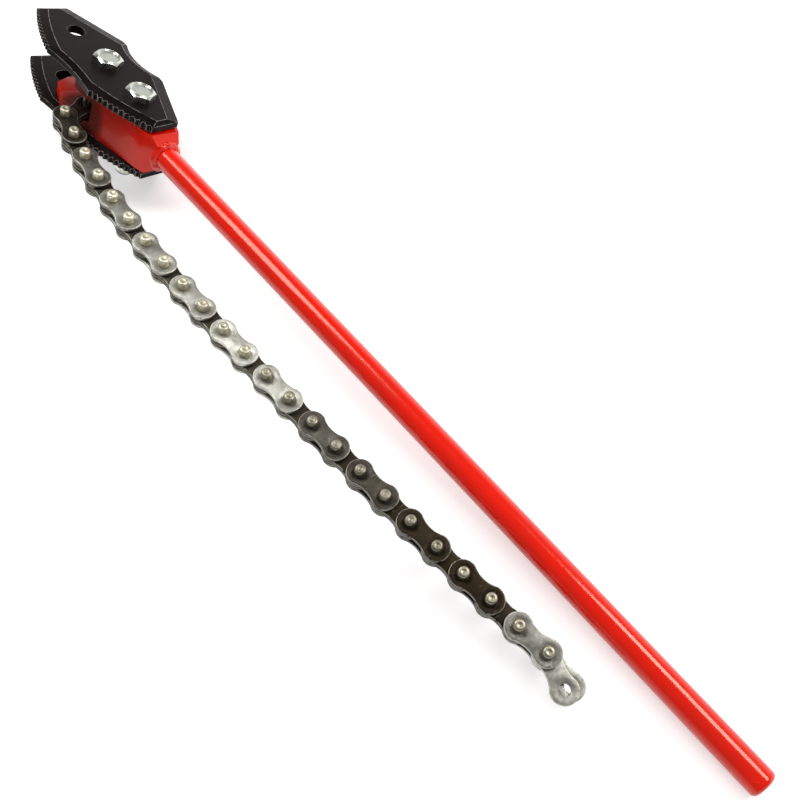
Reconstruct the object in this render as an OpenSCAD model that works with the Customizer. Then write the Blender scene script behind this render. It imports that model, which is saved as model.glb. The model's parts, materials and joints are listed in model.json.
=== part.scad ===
// Chain pipe wrench: a round bar handle with a forged, forked head, two double-ended
// toothed jaws bolted to its sides, and a flat-link chain anchored in the fork.
// Millimetres. Z is up and X points along the handle to its free end. The origin is on
// the handle's axis, at the spare bolt hole of the jaws. The wrench lies on its side, as it
// does on a bench: the head is rolled onto a bolt end and the edge of the lower jaw, the
// handle slopes down to its free end, and the slack chain lies beside the handle.

/* [Handle] */
// Diameter of the handle bar
handle_d = 25; // [20:0.5:30]
// From the spare jaw hole to the free end of the handle
handle_reach = 953; // [600:1:1400]
// Rounding of the handle's free end
handle_round = 4; // [1:0.5:8]

/* [Forged head] */
// Height of the fork above and below the chain's inner plates
fork_play = 8; // [7.5:0.5:10]
// Thickness of each prong of the fork
prong_t = 10.5; // [8:0.5:14]
// How far the fork's nose stands ahead of the first bolt
nose_lead = 34; // [30:1:36]
// How far the nose leans forward at the bottom and back at the top
nose_rake = 20; // [8:1:22]
// How far the chain's anchor pin stands behind the first bolt
anchor_lead = 16; // [12:1:24]
// Wall between the first bolt's hole and the chain slot
slot_wall = 3.8; // [2:0.2:6]
// Room around the anchor link's end in its slot
slot_room = 1.5; // [1:0.1:3]
// Wall of the prong outside the anchor pin
prong_wall = 5; // [3:0.5:8]
// Length of the head behind the second bolt
head_tail = 56; // [48:1:70]
// Half width of the head at its shoulders
shoulder_half = 20; // [16:0.5:24]
// Length of the head's narrow end behind the shoulders
end_taper = 18; // [10:1:26]
// Chamfer on the upper and lower edge of the head's end
end_chamfer = 8; // [3:0.5:9]
// Radius of the weld bead between head and bar
weld_r = 3; // [1.5:0.25:4]

/* [Jaws] */
// Thickness of a jaw
jaw_t = 11; // [8:0.5:14]
// Half length of a jaw
jaw_half = 105; // [95:1:115]
// Spacing of the three jaw holes
hole_pitch = 58; // [50:1:64]
// Height of the toothed corner at each end
end_low = 17; // [13:1:22]
// Height of the smooth corner at each end
end_high = 16.5; // [10:0.5:20]
// How far the crowns stand from the middle of the jaw
crown_out = 37; // [30:1:42]
// Height of the crowns on the toothed side
crown_low = 45.5; // [42:0.5:50]
// Height of the crowns on the smooth side
crown_high = 43; // [39:0.5:46]
// Depth of the waist between the toothed edges
waist_low = 4; // [2:0.5:6]
// Depth of the waist on the smooth side
waist_high = 7; // [4:0.5:9]
// Bulge of each toothed edge
tooth_bulge = 2.5; // [1:0.25:4]
// Number of teeth on each toothed edge
tooth_count = 12; // [8:1:16]
// Depth of the teeth
tooth_depth = 2.6; // [1.5:0.1:4]
// Width of the bevel along the toothed edges
tooth_bevel = 11; // [7:0.5:14]
// Width of the bevel along the smooth edges
edge_bevel = 12; // [8:0.5:14]
// Drop of the bevels at the jaw's edge
bevel_drop = 2.6; // [1:0.1:4]

/* [Bolts] */
// Thread diameter of the jaw bolts
bolt_d = 18; // [14:1:20]
// Width across the flats of bolt heads and nuts
bolt_flats = 27; // [24:1:30]
// Height of a bolt head
bolt_head_h = 7; // [5:0.5:12]
// Height of a nut
nut_h = 14.5; // [11:0.5:18]
// Thickness of a spring washer
washer_t = 4; // [2.5:0.5:6]
// Thread standing out past a nut
bolt_past = 7; // [3:0.5:9]
// Play between a bolt and its hole, all round
bolt_play = 0.5; // [0.2:0.1:1]

/* [Chain] */
// Distance from pin to pin
pitch = 30.3; // [28:0.1:34]
// Radius of a plate's round ends
link_r = 12.2; // [11:0.1:13]
// Half width of a plate's waist
link_waist = 8.8; // [7:0.1:10]
// Thickness of a plate
plate_t = 3.8; // [3:0.1:4.6]
// Play between neighbouring plates
plate_play = 0.4; // [0.3:0.05:0.6]
// Diameter of the chain pins
pin_d = 10; // [8:0.2:11]
// How far a pin stands out of the outer plates
pin_out = 7; // [4:0.2:7.4]
// Running play of the inner plates on their pins, all round
pin_play = 0.15; // [0.12:0.01:0.3]
// Play of the loose anchor hole on its pin, all round
anchor_play = 1.5; // [1.3:0.1:2]

/* [Lay of the chain] */
// How far the head lies rolled about the handle
head_roll = 39.5; // [32:0.1:44]
// Slope of the handle, down to its free end
lie_tilt = 2.6; // [1:0.1:5]
// Heading of the anchor link from the handle's direction
anchor_heading = -74.5; // [-90:0.5:-60]
// How low the anchor link lies in the fork
anchor_sag = 5.5; // [0:0.5:6]
// Slope of the anchor link, down towards the chain
anchor_drop = 10; // [6:0.5:11]
// Heading of the chain's long run
run_heading = 3.5; // [0:0.1:6]
// Swing of the run beside the head
lead_in = -23; // [-30:1:-16]
// Swing of the run at its far end
curl = 4.1; // [0:0.1:6]
// Twist of each link on the last one
twist = 0.9; // [0:0.1:1]
// Bend of the front end plate
front_end_bend = -23; // [-40:1:10]
// Bend of the rear end plate
rear_end_bend = -11; // [-40:1:10]

/* [Hidden] */
$fn = 64;
OUTER_LINKS = 12;
LAST = 2 * OUTER_LINKS;
FIT = 0.02;
SEAT_GAP = 0.3;
BIG = 400;
LEAD_POWER = 5;
CURL_POWER = 4;

// Chain layers, from its middle plane outwards
inner_low = plate_play / 2;
inner_high = inner_low + plate_t;
outer_low = inner_high + plate_play;
outer_high = outer_low + plate_t;
pin_half = outer_high + pin_out;
pin_r = pin_d / 2;

// Forged head, in its own frame with Z along the bolts
bolt_hole_r = bolt_d / 2 + bolt_play;
fork_gap = 2 * (inner_high + fork_play);
head_t = fork_gap + 2 * prong_t;
anchor_x = hole_pitch + anchor_lead;
slot_floor = -(bolt_hole_r + slot_wall);
anchor_y = slot_floor - link_r - slot_room;
head_side = -anchor_y + pin_r + prong_wall;
head_top = crown_high - waist_high - 5;
nose_x = hole_pitch - nose_lead;
nose_facet = 20;
nose_flat = 4;
nose_blunt = 6.5;
nose_step = 5;
prong_setback = 6;
nose_shoulder = 26;
slot_end = anchor_x + link_r + 4;
slot_corner = 3;
head_end = 2 * hole_pitch + head_tail;
end_half = handle_d / 2 + 0.5;

// Jaws and bolts
jaw_mid = hole_pitch;
end_slant = 3;
end_bevel = 5;
waist_bevel_w = 7;
waist_r_low = circle_lift(crown_out, waist_low);
waist_r_high = circle_lift(crown_out - 9, waist_high);
jaw_outer = head_t / 2 + jaw_t;
nut_low = jaw_outer + washer_t;
hex_chamfer = 2.2;
bolt_end = nut_low + nut_h + bolt_past;

STEEL = [0.72, 0.71, 0.67];
DARK_STEEL = [0.30, 0.29, 0.27];
ZINC = [0.82, 0.83, 0.80];
BLACK = [0.13, 0.12, 0.12];
RED = [0.80, 0.08, 0.05];

function two(k) = k < 10 ? str("0", k) : str(k);
function outer_name(k) = str("outer_plates_", two(k));
function pins_name(k) = str("pins_", two(k));
function inner_name(k) = str("inner_plates_", two(k));

// Radius of the circle through the ends of a chord, from its half length and its sagitta
function circle_lift(half, sagitta) = (half * half + sagitta * sagitta) / (2 * sagitta);

// Rigid moves as matrices, so that each link can be placed on the one before it
function move(v) = [[1, 0, 0, v.x], [0, 1, 0, v.y], [0, 0, 1, v.z], [0, 0, 0, 1]];
function turn_x(a) = [[1, 0, 0, 0], [0, cos(a), -sin(a), 0], [0, sin(a), cos(a), 0], [0, 0, 0, 1]];
function turn_y(a) = [[cos(a), 0, sin(a), 0], [0, 1, 0, 0], [-sin(a), 0, cos(a), 0], [0, 0, 0, 1]];
function turn_z(a) = [[cos(a), -sin(a), 0, 0], [sin(a), cos(a), 0, 0], [0, 0, 1, 0], [0, 0, 0, 1]];

// Heading of link k along the run, and its bend on the link before it
function heading(k) =
    k == 0 ? anchor_heading
    : run_heading + lead_in * pow(1 - k / LAST, LEAD_POWER) + curl * pow(k / LAST, CURL_POWER);
function bend(k) = heading(k) - heading(k - 1);

// Places of all links: even ones are inner links, odd ones outer links. The first is the anchor link.
function next_link(place, angle) = place * move([pitch, 0, 0]) * turn_z(angle) * turn_x(twist);
function chain_places(k = 0, place = first_place()) =
    k == LAST - 1 ? [place]
    : concat([place], chain_places(k + 1, next_link(place, bend(k + 1))));
function first_place() =
    turn_y(lie_tilt) * turn_x(-head_roll) * move([anchor_x, anchor_y, -anchor_sag])
    * turn_z(anchor_heading) * turn_y(anchor_drop);
PLACES = chain_places();

// Turns a piece of the head into the pose in which the wrench lies
module in_head() {
    rotate([-head_roll, lie_tilt, 0]) children();
}

module at_bolts() {
    for (x = [hole_pitch, 2 * hole_pitch]) translate([x, 0, 0]) children();
}

// Forged head: a block with a fork for the chain, narrowing to the bar that is welded to its end
module head_plan() {
    polygon([
        [nose_x - nose_rake + nose_blunt, nose_flat],
        [nose_x - nose_rake + nose_blunt, -nose_flat],
        [nose_x - nose_step, -nose_shoulder],
        [nose_x + nose_facet, -head_side],
        [anchor_x + pin_r, -head_side],
        [head_end - end_taper, -shoulder_half],
        [head_end, -end_half],
        [head_end, end_half],
        [head_end - end_taper, shoulder_half],
        [anchor_x + pin_r, head_top],
        [nose_x + nose_facet, head_top],
        [nose_x - nose_step, nose_shoulder]
    ]);
}

// Side view of the head, with the raked nose and the chamfers of its end
module head_profile() {
    half = head_t / 2;
    polygon([
        [nose_x - nose_rake * (1 + 1 / half), -half - 1],
        [head_end - end_chamfer - 1, -half - 1],
        [head_end + 1, -half + end_chamfer + 1],
        [head_end + 1, half - end_chamfer - 1],
        [head_end - end_chamfer - 1, half + 1],
        [nose_x + nose_rake * (1 + 1 / half), half + 1]
    ]);
}

module chain_slot() {
    half = fork_gap / 2;
    root = slot_end - slot_corner;
    mouth = hole_pitch - bolt_hole_r - slot_wall;
    translate([-BIG, -BIG, -half]) cube([BIG + root, BIG + slot_floor, fork_gap]);
    translate([-BIG, -BIG, -half + slot_corner])
        cube([BIG + slot_end, BIG + slot_floor, fork_gap - 2 * slot_corner]);
    for (z = [-1, 1]) translate([root, slot_floor, z * (half - slot_corner)])
        rotate([90, 0, 0]) cylinder(r = slot_corner, h = BIG);
    translate([-BIG, -BIG, -half]) cube([BIG + mouth, 2 * BIG, fork_gap]);
}

// Takes the corner off the upper prong, so that the upper jaw covers it
module upper_trim() {
    polygon([
        [-BIG, -nose_flat],
        [nose_x + nose_flat, -nose_flat],
        [anchor_x - pin_r - prong_setback, -head_side - 1],
        [anchor_x - pin_r - prong_setback, -BIG],
        [-BIG, -BIG]
    ]);
}

module bar() {
    start = head_end - 2 * end_chamfer;
    length = handle_reach - start;
    r = handle_d / 2;
    translate([start, 0, 0]) rotate([0, 90, 0]) rotate_extrude() {
        square([r - handle_round, length]);
        square([r, length - handle_round]);
        translate([r - handle_round, length - handle_round]) intersection() {
            circle(handle_round);
            square(handle_round);
        }
    }
    translate([head_end, 0, 0]) rotate([0, 90, 0]) rotate_extrude() translate([r, 0]) circle(weld_r, $fn = 32);
}

module handle() {
    color(RED) in_head() {
        difference() {
            intersection() {
                translate([0, 0, -head_t / 2]) linear_extrude(head_t) head_plan();
                rotate([90, 0, 0]) linear_extrude(BIG, center = true) head_profile();
            }
            chain_slot();
            linear_extrude(head_t) upper_trim();
            at_bolts() cylinder(r = bolt_hole_r, h = 2 * head_t, center = true);
            translate([anchor_x, anchor_y, 0]) cylinder(r = pin_r + FIT, h = 2 * head_t, center = true);
        }
        bar();
    }
}

// Jaw: a double-ended plate, toothed on two edges and bevelled all round
function tooth_chord() = [jaw_half - crown_out, crown_low - end_low];
function tooth_radius() = circle_lift(norm(tooth_chord()) / 2, tooth_bulge);
function tooth_centre() =
    let (chord = tooth_chord(), out = [chord.y, -chord.x] / norm(chord))
    [(jaw_half + crown_out) / 2, -(crown_low + end_low) / 2] - out * (tooth_radius() - tooth_bulge);

module jaw_plan() {
    difference() {
        intersection() {
            polygon([
                [-jaw_half, -end_low], [-jaw_half, -BIG], [jaw_half, -BIG], [jaw_half, -end_low],
                [jaw_half - end_slant, end_high], [crown_out, crown_high], [-crown_out, crown_high],
                [-jaw_half + end_slant, end_high]
            ]);
            translate([tooth_centre().x, tooth_centre().y]) circle(tooth_radius(), $fn = 256);
            translate([-tooth_centre().x, tooth_centre().y]) circle(tooth_radius(), $fn = 256);
        }
        translate([0, crown_high - waist_high + waist_r_high]) circle(waist_r_high, $fn = 256);
        translate([0, -crown_low + waist_low - waist_r_low]) circle(waist_r_low, $fn = 256);
    }
}

// Section of a bevel, with the jaw's edge at the origin and the jaw towards -X
module bevel_section(width) {
    polygon([[-width * (1 + 1 / bevel_drop), 1], [1, -bevel_drop * (1 + 1 / width)], [1, 1]]);
}

module both_faces() {
    for (s = [0, 1]) mirror([0, 0, s]) translate([0, 0, jaw_t / 2]) children();
}

// Bevel along a straight edge whose outside is on the right of the way from one point to the other
module straight_bevel(from, to, width) {
    way = to - from;
    length = norm(way);
    translate([from.x, from.y, 0]) rotate([0, 0, atan2(way.y, way.x) - 90])
        translate([0, 1.4 * length, 0]) rotate([90, 0, 0]) linear_extrude(1.8 * length) bevel_section(width);
}

module round_bevel(r, width) {
    rotate_extrude($fn = 256) translate([r, 0]) bevel_section(width);
}

module waist_bevel(r, width) {
    rotate_extrude($fn = 256) translate([r, 0]) mirror([1, 0]) bevel_section(width);
}

module jaw_bevels() {
    corner_low = [jaw_half, -end_low];
    corner_high = [jaw_half - end_slant, end_high];
    both_faces() {
        for (s = [0, 1]) mirror([s, 0, 0]) {
            straight_bevel(corner_high, [crown_out, crown_high], edge_bevel);
            straight_bevel(corner_low, corner_high, end_bevel);
            intersection() {
                translate([tooth_centre().x, tooth_centre().y, 0]) round_bevel(tooth_radius(), tooth_bevel);
                translate([0, -BIG, -BIG / 2]) cube([BIG, BIG, BIG]);
            }
        }
        translate([0, -crown_low + waist_low - waist_r_low, 0]) waist_bevel(waist_r_low, waist_bevel_w);
        translate([0, crown_high - waist_high + waist_r_high, 0]) waist_bevel(waist_r_high, waist_bevel_w);
    }
}

// V grooves across the jaw's edge
module jaw_teeth() {
    step = 2 * asin(norm(tooth_chord()) / 2 / tooth_radius()) / tooth_count;
    chord = tooth_chord();
    first = atan2(-chord.x, chord.y) - step * (tooth_count - 1) / 2;
    over = 0.3;
    side = (tooth_depth + over) * sqrt(2);
    for (s = [0, 1]) mirror([s, 0, 0])
        translate([tooth_centre().x, tooth_centre().y, 0])
            for (i = [0:tooth_count - 1]) rotate([0, 0, first + i * step])
                translate([tooth_radius() + over, 0, 0]) rotate([0, 0, 45])
                    cube([side, side, 2 * jaw_t], center = true);
}

module jaw() {
    color(BLACK) difference() {
        translate([0, 0, -jaw_t / 2]) linear_extrude(jaw_t) jaw_plan();
        jaw_bevels();
        jaw_teeth();
        for (i = [-1:1]) translate([i * hole_pitch, 0, 0]) cylinder(r = bolt_hole_r, h = 2 * jaw_t, center = true);
    }
}

module upper_jaw() {
    in_head() translate([jaw_mid, 0, (head_t + jaw_t) / 2]) jaw();
}

module lower_jaw() {
    in_head() translate([jaw_mid, 0, -(head_t + jaw_t) / 2]) jaw();
}

// Fasteners
module hexagon(height) {
    corner = bolt_flats / cos(30);
    intersection() {
        cylinder(d = corner, h = height, $fn = 6);
        union() {
            cylinder(d = corner + 1, h = height - hex_chamfer);
            translate([0, 0, height - hex_chamfer])
                cylinder(d1 = corner + 1, d2 = bolt_flats - 1.5, h = hex_chamfer);
        }
    }
}

module jaw_bolts() {
    dish = 0.8;
    color(ZINC) in_head() at_bolts() {
        translate([0, 0, jaw_outer]) difference() {
            hexagon(bolt_head_h);
            translate([0, 0, bolt_head_h - dish]) cylinder(d1 = bolt_flats - 9, d2 = bolt_flats - 6, h = dish + 0.01);
        }
        translate([0, 0, -bolt_end + 1.5]) cylinder(d = bolt_d, h = bolt_end - 1.5 + jaw_outer);
        translate([0, 0, -bolt_end]) cylinder(d1 = bolt_d - 3, d2 = bolt_d, h = 1.5);
    }
}

module jaw_nuts() {
    color(ZINC) in_head() at_bolts() translate([0, 0, -nut_low]) mirror([0, 0, 1]) difference() {
        hexagon(nut_h);
        cylinder(r = bolt_d / 2 + FIT, h = 3 * nut_h, center = true);
    }
}

module spring_washers() {
    outer_d = bolt_flats;
    split = 2.5;
    color(ZINC) in_head() at_bolts() translate([0, 0, -nut_low]) difference() {
        cylinder(d = outer_d, h = washer_t);
        translate([0, 0, -1]) cylinder(r = bolt_hole_r, h = washer_t + 2);
        rotate([20, 0, 0]) translate([0, -split / 2, -washer_t]) cube([outer_d, split, 4 * washer_t]);
    }
}

module anchor_pin() {
    length = head_t - 2 * SEAT_GAP;
    color(DARK_STEEL) in_head() translate([anchor_x, anchor_y, 0])
        cylinder(r = pin_r, h = length, center = true);
}

// Chain plates: two round ends joined by a waist that runs flatly into them
module plate_blank() {
    half = pitch / 2;
    touch_r = (half * half + link_waist * link_waist - link_r * link_r) / (2 * (link_r - link_waist));
    waist_r = 1.12 * touch_r;
    difference() {
        union() {
            for (x = [0, pitch]) translate([x, 0, 0]) cylinder(r = link_r, h = plate_t);
            translate([0.2 * link_r, -0.95 * link_r, 0]) cube([pitch - 0.4 * link_r, 1.9 * link_r, plate_t]);
        }
        for (s = [-1, 1]) translate([half, s * (link_waist + waist_r), -1])
            cylinder(r = waist_r, h = plate_t + 2, $fn = 128);
    }
}

module plate(first_r, second_r) {
    difference() {
        plate_blank();
        translate([0, 0, -1]) cylinder(r = first_r, h = plate_t + 2);
        translate([pitch, 0, -1]) cylinder(r = second_r, h = plate_t + 2);
    }
}

module plate_pair(low, first_r, second_r) {
    for (z = [low, -low - plate_t]) translate([0, 0, z]) plate(first_r, second_r);
}

module outer_plates(k) {
    color(STEEL) multmatrix(PLACES[2 * k - 1]) plate_pair(outer_low, pin_r + FIT, pin_r + FIT);
}

module inner_plates(k) {
    color(DARK_STEEL) multmatrix(PLACES[2 * k]) plate_pair(inner_low, pin_r + pin_play, pin_r + pin_play);
}

module anchor_plates() {
    color(DARK_STEEL) multmatrix(PLACES[0]) plate_pair(inner_low, pin_r + anchor_play, pin_r + pin_play);
}

// Chain pin: a plain rod with chamfered ends, each with the dimple of the riveting tool
module chain_pin() {
    edge = 1;
    dimple = 1.4;
    difference() {
        union() {
            cylinder(r = pin_r, h = 2 * (pin_half - edge), center = true);
            for (s = [0, 1]) mirror([0, 0, s])
                translate([0, 0, pin_half - edge]) cylinder(r1 = pin_r, r2 = pin_r - edge, h = edge);
        }
        for (s = [0, 1]) mirror([0, 0, s])
            translate([0, 0, pin_half - dimple]) cylinder(r1 = 0.4, r2 = pin_r / 2, h = dimple + 0.01);
    }
}

module pins(k) {
    color(STEEL) multmatrix(PLACES[2 * k - 1])
        for (x = [0, pitch]) translate([x, 0, 0]) chain_pin();
}

// The two plates of the free end swing on the last pin by themselves
module end_plate(angle, low) {
    color(STEEL) multmatrix(PLACES[LAST - 1] * move([pitch, 0, 0]) * turn_z(angle))
        translate([0, 0, low]) plate(pin_r + pin_play, pin_r + pin_play);
}

module front_end_plate() {
    end_plate(front_end_bend, inner_low);
}

module rear_end_plate() {
    end_plate(rear_end_bend, -inner_high);
}

handle();
upper_jaw();
lower_jaw();
jaw_bolts();
jaw_nuts();
spring_washers();
anchor_pin();
anchor_plates();
front_end_plate();
rear_end_plate();
for (k = [1:OUTER_LINKS]) outer_plates(k);
for (k = [1:OUTER_LINKS]) pins(k);
for (k = [1:OUTER_LINKS - 1]) inner_plates(k);
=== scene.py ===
"""Looks of a chain pipe wrench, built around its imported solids: rounded edges, weld bead,
bolt threads, stamped chain plates, riveted pins, paint and bare steel, on a white floor."""

import json
import math

import bmesh
import bpy
import numpy as np
from bpy.props import FloatProperty, FloatVectorProperty, IntProperty, PointerProperty
from mathutils import Matrix, Vector


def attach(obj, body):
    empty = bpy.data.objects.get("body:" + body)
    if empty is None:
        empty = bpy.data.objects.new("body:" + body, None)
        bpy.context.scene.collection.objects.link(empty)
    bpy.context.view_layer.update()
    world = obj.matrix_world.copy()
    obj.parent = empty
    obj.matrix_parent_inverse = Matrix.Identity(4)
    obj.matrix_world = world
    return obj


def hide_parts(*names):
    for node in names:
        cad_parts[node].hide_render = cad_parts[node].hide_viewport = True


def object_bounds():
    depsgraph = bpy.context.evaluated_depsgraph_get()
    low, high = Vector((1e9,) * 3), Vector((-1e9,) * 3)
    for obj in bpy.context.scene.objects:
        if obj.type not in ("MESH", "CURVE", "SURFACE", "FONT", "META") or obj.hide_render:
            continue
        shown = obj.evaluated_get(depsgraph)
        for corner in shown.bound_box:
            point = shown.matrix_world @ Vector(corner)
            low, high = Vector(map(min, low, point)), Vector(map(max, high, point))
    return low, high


bl_info = {
    "name": "Chain Pipe Wrench",
    "version": (1, 0, 0),
    "blender": (4, 5, 0),
    "location": "View3D > Sidebar > Wrench",
    "description": "Dresses the solids of a chain pipe wrench with rounded edges and finishes",
    "category": "Object",
}

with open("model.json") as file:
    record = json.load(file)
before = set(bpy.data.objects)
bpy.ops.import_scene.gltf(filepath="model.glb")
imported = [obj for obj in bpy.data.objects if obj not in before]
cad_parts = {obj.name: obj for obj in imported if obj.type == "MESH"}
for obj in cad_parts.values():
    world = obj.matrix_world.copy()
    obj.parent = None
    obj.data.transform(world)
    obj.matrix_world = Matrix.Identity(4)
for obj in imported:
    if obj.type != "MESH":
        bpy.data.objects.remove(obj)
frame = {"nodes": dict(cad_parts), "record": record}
CAD_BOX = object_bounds()
RECORD = frame["record"]
JOINTS = {joint["name"]: joint for joint in RECORD["behaviour"]["joints"]}
BODY_OF = {n: body for body, nodes in RECORD["behaviour"]["bodies"].items() for n in nodes}
MOUNTS = {mount["name"]: mount for mount in RECORD["mounts"]}
OUTER_LINKS = sum(name.startswith("outer_plates_") for name in BODY_OF)
MM = 0.001

# Radii of the chain plates' holes: riveted on a pin, turning on a pin, and loose on the anchor pin
RIVETED_HOLE, RUNNING_HOLE, ANCHOR_HOLE = 5.02 * MM, 5.15 * MM, 6.5 * MM

# Riveted end of a pin: shares of the pin's radius, and depths below its highest ring
RIVET_RIM = (
    (0.08, 0.38 * MM), (0.22, 0.30 * MM), (0.36, 0.12 * MM), (0.46, 0.02 * MM), (0.56, 0.0),
    (0.70, 0.06 * MM), (0.82, 0.22 * MM), (0.91, 0.52 * MM), (0.97, 0.95 * MM), (1.0, 1.5 * MM))
DIMPLE, DIMPLE_DEPTH = 0.44, 0.6 * MM

# Sides of the round shapes
HOLE_SIDES, PIN_SIDES = 36, 40

# How light the plates and the pins are, along the chain from 0 at the anchor to 1 at the free end.
# These tones paint light and shade: dark in the jaws' shadow beside the head, lighter and darker further on
# with the room that the steel reflects
PLATE_LIGHT_AND_SHADE = (
    (0.0, 0.0), (0.06, 0.05), (0.14, 0.31), (0.3, 0.62), (0.38, 0.68), (0.46, 1.0), (0.55, 0.7),
    (0.63, 0.08), (0.73, 0.06), (0.8, 0.0), (0.9, 0.0), (1.0, 0.75))
PIN_LIGHT_AND_SHADE = (
    (0.08, 0.68), (0.17, 0.95), (0.25, 0.98), (0.33, 0.8), (0.42, 0.58), (0.5, 0.52), (0.6, 0.25),
    (0.85, 0.2), (0.95, 0.4))
# Inner plates are darkened as painted shade between the outer plates
INNER_PLATE_SHADE = 0.06
# The anchor pin is darkened as painted shade, in the fork under the jaws
ANCHOR_PIN_SHADE = 0.05
ANCHOR_PIN_EDGE = 0.8 * MM

# Bolt threads: plain end below the ridges, how deep the ridges' middle lies, and their half height
THREAD_END, THREAD_DEPTH, THREAD_RIDGE = 1.6 * MM, 0.25 * MM, 0.62 * MM

# The photograph's camera in the head's axes: its own axes, and the origin seen from it, in millimetres
CAMERA_AXES = (0.6531, 0.6648, 0.3626), (0.6845, -0.3135, -0.6581), (-0.3238, 0.678, -0.6599)
CAMERA_OFFSET = (-347.94, -361.64, 1059.74)

FLOOR_HALF = 6.0
FLOOR_GAP = 0.4 * MM
FLOOR_GLOW = 0.42
BEAD_SEED = 7
BEAD_LIFT = 0.3 * MM

# How near two measures have to be to count as the same
SLACK = 0.05 * MM


# Measures of the frame

def head_axes():
    """The head's own axes: X along the handle, Z along the bolts towards their heads."""
    along = Vector(MOUNTS["handle_end"]["axis"]).normalized()
    bolts = Vector(MOUNTS["jaw_hole"]["axis"]).normalized()
    return along, bolts.cross(along).normalized(), bolts


HEAD = Matrix(head_axes()).transposed()


def head_point(x, y, z):
    """A point given in the head's own axes, in millimetres."""
    return HEAD @ Vector((x, y, z)) * MM


def joint_point(name):
    return Vector(JOINTS[name]["pos_m"])


def mesh_points(node):
    mesh = frame["nodes"][node].data
    points = np.empty(len(mesh.vertices) * 3)
    mesh.vertices.foreach_get("co", points)
    return points.reshape(-1, 3)


def flat_normal(node):
    """The direction that most of a flat node's surface faces, on the side of the bolt heads."""
    mesh = frame["nodes"][node].data
    normals = np.empty(len(mesh.polygons) * 3)
    areas = np.empty(len(mesh.polygons))
    mesh.polygons.foreach_get("normal", normals)
    mesh.polygons.foreach_get("area", areas)
    normals = normals.reshape(-1, 3)
    spread = (normals * areas[:, None]).T @ normals
    up = Vector(np.linalg.eigh(spread)[1][:, 2])
    return up if up.dot(HEAD.col[2]) > 0 else -up


def surface_middle(node):
    mesh = frame["nodes"][node].data
    total = Vector()
    area = 0.0
    for face in mesh.polygons:
        total += face.center * face.area
        area += face.area
    return total / area


def link_place(node, start, end=None):
    """Place of a link: origin at its first pin, X to its second, Z out of its plates."""
    up = flat_normal(node)
    way = (end if end is not None else surface_middle(node)) - start
    way = (way - up * way.dot(up)).normalized()
    side = up.cross(way)
    place = Matrix((way, side, up)).transposed().to_4x4()
    place.translation = start
    return place


def in_place(node, place):
    """A node's points in the axes of a link."""
    inverse = np.array(place.inverted())
    return mesh_points(node) @ inverse[:3, :3].T + inverse[:3, 3]


def outer_ends(k):
    last = "bend_%02d" % (2 * k) if k < OUTER_LINKS else "front_end_swing"
    return joint_point("bend_%02d" % (2 * k - 1)), joint_point(last)


def inner_ends(k):
    return joint_point("bend_%02d" % (2 * k)), joint_point("bend_%02d" % (2 * k + 1))


PITCH = (joint_point("bend_02") - joint_point("bend_01")).length


# Settings

def length(name, text, size, least=0):
    """A length, given in millimetres."""
    return FloatProperty(
        name=name, description=text, default=size * MM, min=least * MM, unit="LENGTH", precision=4)


def shade(name, text, value):
    return FloatVectorProperty(
        name=name, description=text, default=value, subtype="COLOR", size=3, min=0, max=1)


def level(name, text, value, unit="NONE"):
    return FloatProperty(name=name, description=text, default=value, min=0, unit=unit)


class WrenchSizes(bpy.types.PropertyGroup):
    """Sizes of the details that are added to the solids"""

    forging_edge: length("Forging Edge", "Rounding of the forged head's edges", 1.6)
    jaw_edge: length("Jaw Edge", "Rounding of the jaws' edges and teeth", 1.2)
    bolt_edge: length("Bolt Edge", "Rounding of bolt heads, nuts and washers", 0.6)
    hole_taper: length("Hole Taper", "How much wider the jaws' spare hole is on the inside", 3.8)
    dish_rim: length("Dish Rim", "Width of the rim around the dished bolt heads", 2.4)
    dish_depth: length("Dish Depth", "Depth of the dish in the bolt heads", 1.1)
    plate_edge: length("Plate Edge", "Rounding of the stamped chain plates", 0.75)
    plate_waist: length("Plate Waist", "Half width of a chain plate at its waist", 8.8)
    hole_lead: length("Hole Lead", "Lead-in around the holes of the chain plates", 0.35)
    # Reach of the painted shade that darkens the paint around the chain's anchor
    anchor_shade_reach: length("Grease Reach", "How far grease spreads around the chain's anchor", 46)
    bead_lumps: IntProperty(
        name="Bead Lumps", description="Ripples of the weld bead around the bar", default=14, min=8)
    bead_size: length("Bead Size", "Half height of the weld bead", 4.3)
    thread_pitch: length("Thread Pitch", "Pitch of the bolts' threads", 2.5, least=0.5)


class WrenchColours(bpy.types.PropertyGroup):
    """Colours of the finishes"""

    paint: shade("Paint", "Red enamel of the handle and its head", (0.76, 0.009, 0.002))
    paint_deep: shade("Deep Paint", "Thicker, darker places of the enamel", (0.58, 0.006, 0.0015))
    # Painted shade: near-black red laid on the paint where the upper jaw and the chain shade the fork
    anchor_shade: shade("Grease", "Dark grease on the paint around the chain's anchor", (0.035, 0.004, 0.003))
    enamel: shade("Jaw Enamel", "Black of the jaws", (0.0052, 0.0030, 0.0024))
    enamel_worn: shade("Rubbed Enamel", "Black where it is rubbed thin", (0.013, 0.009, 0.0075))
    # Partly rubbed steel and partly a painted glint along the jaws' edges
    bared_enamel_and_glint: shade("Bared Enamel", "Grey of the jaws' rubbed edges", (0.27, 0.26, 0.255))
    zinc: shade("Zinc", "Plating of bolts, nuts and washers", (0.60, 0.62, 0.55))
    plate: shade("Chain Plate", "Bare steel of the chain plates", (0.62, 0.61, 0.54))
    # Dark oiled steel, also the colour of the painted shade and dim reflections on plates and pins
    plate_oil_and_shade: shade("Oiled Plate", "Chain plates under a film of old oil", (0.030, 0.022, 0.013))
    pin: shade("Chain Pin", "Straw-coloured steel of the pins", (0.96, 0.91, 0.69))
    bare: shade("Bare Steel", "Steel that shows where a finish is rubbed off", (0.30, 0.28, 0.25))


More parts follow.
